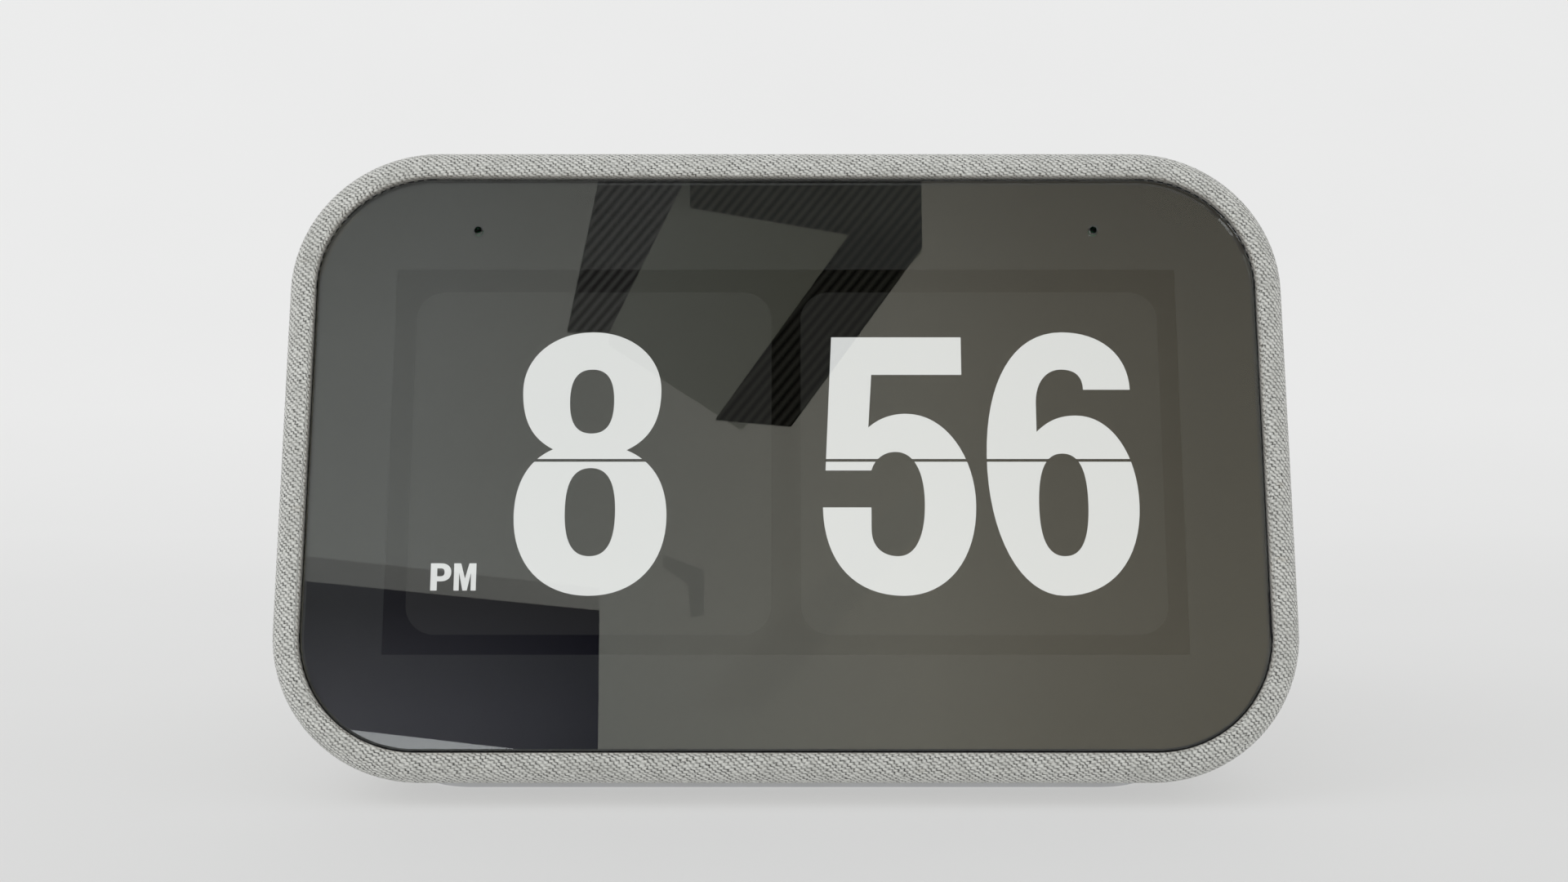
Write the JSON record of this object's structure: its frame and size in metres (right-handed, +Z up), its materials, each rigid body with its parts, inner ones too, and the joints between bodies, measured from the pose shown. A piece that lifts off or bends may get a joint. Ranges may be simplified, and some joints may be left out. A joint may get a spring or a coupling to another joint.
{
  "type": "smart display",
  "caption": "Table-top smart clock display: fabric-wrapped wedge body with a leaning glass screen, volume buttons on top, ports and a mute slider at the back, soft foot below.",
  "frame": {"origin": "on the resting surface, at the middle of the body's width and depth", "axes": "+X to the right of someone facing the glass, -Y out of the glass side, +Z up"},
  "size_m": [0.1136, 0.0792, 0.0711],
  "materials": {
    "fabric": "woven heather grey",
    "shell": "fine texture",
    "black_plastic": "fine texture",
    "foot": "matt",
    "glass": "polished",
    "black_print": "matt ink",
    "film": "clear",
    "lcd": "satin",
    "light_guide": "clear",
    "steel": "satin",
    "button": "soft touch",
    "red_mark": "matt ink",
    "circuit": "solder mask",
    "chip": "moulded",
    "ribbon": "film",
    "seal": "matt",
    "white_plastic": "moulded",
    "pad": "soft",
    "spreader": "rolled",
    "ferrite": "ground",
    "cone_paper": "pressed fibre",
    "spider_cloth": "treated",
    "copper": "enamelled wire",
    "radiator": "anodised"
  },
  "bodies": {
    "clock": {"fabric_cover": "fabric", "front_frame": "black_plastic", "rear_housing": "shell", "port_panel": "black_plastic", "base_plate": "black_plastic", "rubber_foot": "foot", "base_screws": "steel", "cover_glass": "glass", "border_print": "black_print", "glass_tape": "black_print", "touch_film": "film", "lcd_cell": "lcd", "light_guide": "light_guide", "backlight_tray": "steel", "display_bracket": "steel", "display_screws": "steel", "display_ribbon": "ribbon", "mic_boards": "circuit", "mic_seals": "seal", "volume_switches": "steel", "button_board": "circuit", "button_screws": "steel", "button_ribbon": "ribbon", "mute_switch": "steel", "mute_mark": "red_mark", "port_board": "circuit", "usb_shell": "steel", "usb_tongue": "white_plastic", "dc_jack_body": "black_plastic", "dc_jack_pin": "steel", "main_board": "circuit", "processor": "chip", "memory_chips": "chip", "shield_can": "steel", "thermal_pad": "pad", "heat_spreader": "spreader", "board_connectors": "white_plastic", "board_screws": "steel", "antennas": "ribbon", "speaker_box": "black_plastic", "speaker_lid": "black_plastic", "speaker_screws": "steel", "speaker_basket": "steel", "speaker_magnet": "ferrite", "speaker_yoke": "steel", "speaker_surround": "seal", "speaker_spider": "spider_cloth", "radiator_left_surround": "seal", "radiator_right_surround": "seal"},
    "volume_up": {"volume_up_button": "button", "volume_up_plunger": "black_plastic"},
    "volume_down": {"volume_down_button": "button", "volume_down_plunger": "black_plastic"},
    "mute_slider": {"mute_knob": "button"},
    "cone": {"speaker_cone": "cone_paper", "voice_coil": "copper", "dust_cap": "cone_paper"},
    "radiator_left": {"radiator_left_plate": "radiator"},
    "radiator_right": {"radiator_right_plate": "radiator"}
  },
  "joints": [
    {"name": "volume_up_press", "type": "slide", "parent": "clock", "child": "volume_up", "axis": [0, -0.3075, -0.9516], "range_m": [0, 0.0006], "stiffness_N_per_m": 2500, "springref_m": -0.0001},
    {"name": "volume_down_press", "type": "slide", "parent": "clock", "child": "volume_down", "axis": [0, -0.3075, -0.9516], "range_m": [0, 0.0006], "stiffness_N_per_m": 2500, "springref_m": -0.0001},
    {"name": "mute_slide", "type": "slide", "parent": "clock", "child": "mute_slider", "axis": [-1, 0, 0], "range_m": [0, 0.0022]},
    {"name": "cone_travel", "type": "slide", "parent": "clock", "child": "cone", "axis": [0, 0, 1], "range_m": [-0.001, 0.001], "stiffness_N_per_m": 1200, "deforming": ["speaker_surround", "speaker_spider"]},
    {"name": "radiator_left_travel", "type": "slide", "parent": "clock", "child": "radiator_left", "axis": [-1, 0, 0], "range_m": [-0.001, 0.001], "stiffness_N_per_m": 800, "deforming": ["radiator_left_surround"]},
    {"name": "radiator_right_travel", "type": "slide", "parent": "clock", "child": "radiator_right", "axis": [1, 0, 0], "range_m": [-0.001, 0.001], "stiffness_N_per_m": 800, "deforming": ["radiator_right_surround"]}
  ]
}
